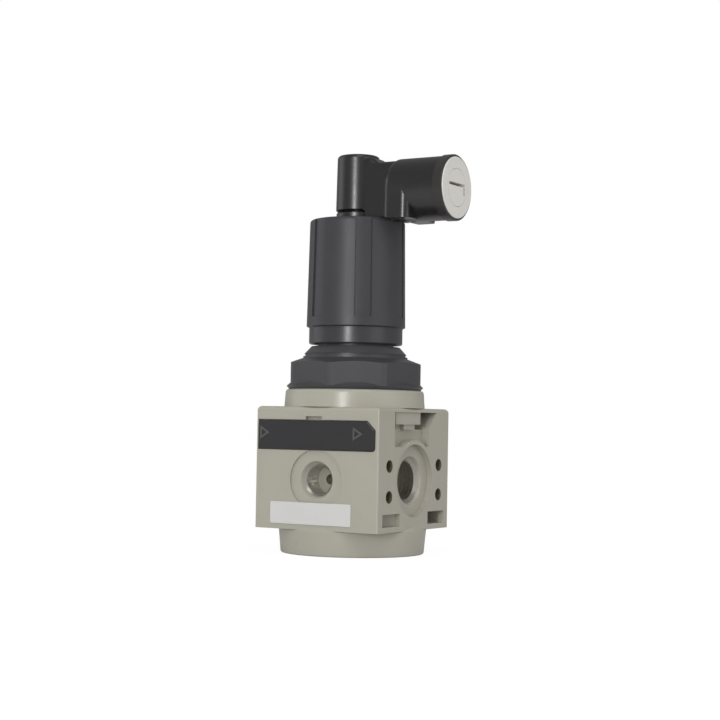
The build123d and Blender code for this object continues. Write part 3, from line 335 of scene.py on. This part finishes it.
def drawn_piece(shape, name, finish, body, sharp):
    """Turns a bmesh into a piece that rides on one body, smooth up to an angle in degrees."""
    mesh = bpy.data.meshes.new(name)
    shape.to_mesh(mesh)
    shape.free()
    mesh.shade_smooth()
    mesh.set_sharp_from_angle(angle=radians(sharp))
    mesh.materials.append(finish)
    piece = bpy.data.objects.new(name, mesh)
    bpy.context.scene.collection.objects.link(piece)
    flatten = piece.modifiers.new("even shading", "WEIGHTED_NORMAL")
    flatten.mode = "FACE_AREA_WITH_ANGLE"
    flatten.keep_sharp = True
    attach(piece, body)


def wear(piece, finish):
    """Dresses one object, and leaves the mesh's own material as it is."""
    worn = piece.material_slots[0]
    worn.link = "OBJECT"
    worn.material = finish


for node_name, finish in WEAR.items():
    wear(frame["nodes"][node_name], finish)


def giving(node):
    """A copy of a spring or membrane, with its own mesh, that rides on the same body and stands in for
    it.
    """
    source = frame["nodes"][node]
    piece = bpy.data.objects.new(node + "_giving", source.data.copy())
    bpy.context.scene.collection.objects.link(piece)
    wear(piece, WEAR[node])
    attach(piece, source["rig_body"])
    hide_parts(node)
    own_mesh(piece)


giving("regulating_spring")
giving("valve_spring")
giving("diaphragm")


def screw_thread(name, axis_turn, minor, major, pitch, start, end):
    """An internal thread: one tooth wound into the wall of a round hole."""
    turns = (end - start) / pitch - 1
    shape = bmesh.new()
    root = major + THREAD_ROOT
    crest = minor - THREAD_CREST
    # The tooth's section: distance from the axis, and place along one pitch
    rows = [
        (crest, 0.42 * pitch),
        (crest, 0.58 * pitch),
        (root, 0.95 * pitch),
        (root, 0.05 * pitch),
    ]
    corners = [shape.verts.new((radius, 0, start + along)) for radius, along in rows]
    edges = [shape.edges.new((corners[k], corners[(k + 1) % 4])) for k in range(4)]
    bmesh.ops.spin(
        shape, geom=corners + edges, cent=(0, 0, 0), axis=(0, 0, 1),
        dvec=(0, 0, pitch / THREAD_STEPS), angle=2 * pi * turns,
        steps=int(THREAD_STEPS * turns), use_duplicate=False,
    )
    bmesh.ops.holes_fill(shape, edges=[edge for edge in shape.edges if edge.is_boundary], sides=4)
    bmesh.ops.transform(shape, matrix=axis_turn, verts=shape.verts)
    bmesh.ops.recalc_face_normals(shape, faces=shape.faces)
    drawn_piece(shape, name, nickel, "regulator", sharp=50)


def facing(direction, height):
    """Turns +Z to a horizontal direction and lifts the piece to a height."""
    turn = Vector((0, 0, 1)).rotation_difference(Vector(direction)).to_matrix().to_4x4()
    return Matrix.Translation((0, 0, height)) @ turn


port_thread_end = PORT_MOUTH - (PORT_CONE - PORT_MINOR) / 2
gauge_thread_end = GAUGE_MOUTH - (GAUGE_MAJOR - GAUGE_MINOR) / 2
for thread_name, outward in (("port_thread_out", 1), ("port_thread_in", -1)):
    screw_thread(thread_name, facing((outward, 0, 0), PORT_HEIGHT),
                 PORT_MINOR, PORT_MAJOR, PORT_PITCH, PORT_BACK, port_thread_end)
screw_thread("gauge_thread", facing((0, -1, 0), PORT_HEIGHT),
             GAUGE_MINOR, GAUGE_MAJOR, GAUGE_PITCH, GAUGE_BACK, gauge_thread_end)


def flow_arrow(name, base):
    """A hollow arrowhead, raised on the front plate. It points along +X."""
    middle = (ARROW_LOW + ARROW_HIGH) / 2
    shape = bmesh.new()
    outer = [(base, ARROW_LOW), (base + ARROW_LENGTH, middle), (base, ARROW_HIGH)]
    shape.faces.new([shape.verts.new((x, PLATE_FRONT - ARROW_GAP, z)) for x, z in outer])
    shape.normal_update()
    rim = bmesh.ops.inset_region(shape, faces=shape.faces[:], thickness=ARROW_WIDTH,
                                 use_boundary=True, use_even_offset=True)["faces"]
    hollow = [face for face in shape.faces if face not in rim]
    bmesh.ops.delete(shape, geom=hollow, context="FACES_ONLY")
    lifted = bmesh.ops.extrude_face_region(shape, geom=shape.faces[:])["geom"]
    moved = [part for part in lifted if isinstance(part, bmesh.types.BMVert)]
    bmesh.ops.translate(shape, verts=moved, vec=(0, -ARROW_RISE, 0))
    bmesh.ops.recalc_face_normals(shape, faces=shape.faces)
    drawn_piece(shape, name, plate_relief, "regulator", sharp=35)


flow_arrow("arrow_right", 12.7 * MM)
flow_arrow("arrow_left", -19.5 * MM)

# Studio: white floor and surroundings, and four soft lamps
FLOOR_HALF = 3.0
FLOOR_GLOW = 1.09
FLOOR_GLOW_SHARE = 0.86
AMBIENT = 0.72
AMBIENT_MIRRORED = 0.3
LAMP_AIM = Vector((0, 0, 60 * MM))


def pale_floor():
    """White to the camera but for a faint shadow, and grey to the object."""
    material = bpy.data.materials.new("pale floor")
    material.use_nodes = True
    nodes, links = material.node_tree.nodes, material.node_tree.links
    shader = nodes["Principled BSDF"]
    shader.inputs["Base Color"].default_value = (0.6, 0.6, 0.6, 1)
    shader.inputs["Roughness"].default_value = 0.9
    paper = nodes.new("ShaderNodeEmission")
    paper.inputs["Strength"].default_value = FLOOR_GLOW
    rays = nodes.new("ShaderNodeLightPath")
    share = nodes.new("ShaderNodeMath")
    share.operation = "MULTIPLY"
    share.inputs[1].default_value = FLOOR_GLOW_SHARE
    links.new(rays.outputs["Is Camera Ray"], share.inputs[0])
    mixed = nodes.new("ShaderNodeMixShader")
    links.new(share.outputs[0], mixed.inputs["Fac"])
    links.new(shader.outputs[0], mixed.inputs[1])
    links.new(paper.outputs[0], mixed.inputs[2])
    links.new(mixed.outputs[0], nodes["Material Output"].inputs["Surface"])
    return material


floor_shape = bmesh.new()
bmesh.ops.create_grid(floor_shape, x_segments=1, y_segments=1, size=FLOOR_HALF)
floor_mesh = bpy.data.meshes.new("floor")
floor_shape.to_mesh(floor_mesh)
floor_shape.free()
floor_mesh.materials.append(pale_floor())
floor = bpy.data.objects.new("floor", floor_mesh)
bpy.context.scene.collection.objects.link(floor)


def studio_world():
    """White behind the object, softer as a light, and dimmer in what mirrors it."""
    world = bpy.data.worlds.new("studio")
    world.use_nodes = True
    nodes, links = world.node_tree.nodes, world.node_tree.links
    surround = nodes["Background"]
    rays = nodes.new("ShaderNodeLightPath")
    lighting = nodes.new("ShaderNodeMix")
    lighting.data_type = "FLOAT"
    lighting.inputs["A"].default_value = AMBIENT
    lighting.inputs["B"].default_value = AMBIENT_MIRRORED
    links.new(rays.outputs["Is Glossy Ray"], lighting.inputs["Factor"])
    brightness = nodes.new("ShaderNodeMix")
    brightness.data_type = "FLOAT"
    brightness.inputs["B"].default_value = 1.0
    links.new(rays.outputs["Is Camera Ray"], brightness.inputs["Factor"])
    links.new(lighting.outputs["Result"], brightness.inputs["A"])
    links.new(brightness.outputs["Result"], surround.inputs["Strength"])
    surround.inputs["Color"].default_value = (1, 1, 1, 1)
    return world


bpy.context.scene.world = studio_world()


def soft_lamp(name, azimuth, elevation, distance, width, height, power):
    """A lamp that looks at the middle of the object; azimuth 0 is its front, 90 its +X side."""
    lamp = bpy.data.lights.new(name, "AREA")
    lamp.shape = "RECTANGLE"
    lamp.size = width
    lamp.size_y = height
    lamp.energy = power
    turn, rise = radians(azimuth), radians(elevation)
    away = Vector((sin(turn) * cos(rise), -cos(turn) * cos(rise), sin(rise)))
    holder = bpy.data.objects.new(name, lamp)
    holder.location = LAMP_AIM + away * distance
    holder.rotation_euler = away.to_track_quat("Z", "Y").to_euler()
    bpy.context.scene.collection.objects.link(holder)


soft_lamp("tall window", azimuth=12, elevation=5, distance=1.0, width=0.09, height=0.3, power=3.1)
soft_lamp("ceiling", azimuth=35, elevation=50, distance=1.0, width=0.5, height=0.5, power=1.4)
soft_lamp("side wall", azimuth=85, elevation=15, distance=1.1, width=0.7, height=0.7, power=1.3)
soft_lamp("left wall", azimuth=-75, elevation=15, distance=1.1, width=0.7, height=0.7, power=1.0)

# The photograph's camera, fitted to it
lens = bpy.data.cameras.new("camera")
lens.sensor_width = 36.0
lens.lens = 82.27
camera = bpy.data.objects.new("camera", lens)
right = Vector((0.85593, 0.51680, 0.01724))
up = Vector((0.00395, -0.03988, 0.99920))
back = Vector((0.51707, -0.85518, -0.03617))
camera.matrix_world = Matrix((
    (right.x, up.x, back.x, 259.163 * MM),
    (right.y, up.y, back.y, -425.911 * MM),
    (right.z, up.z, back.z, 40.015 * MM),
    (0, 0, 0, 1),
))
bpy.context.scene.collection.objects.link(camera)
bpy.context.scene.camera = camera
bpy.context.scene.view_settings.view_transform = "Standard"
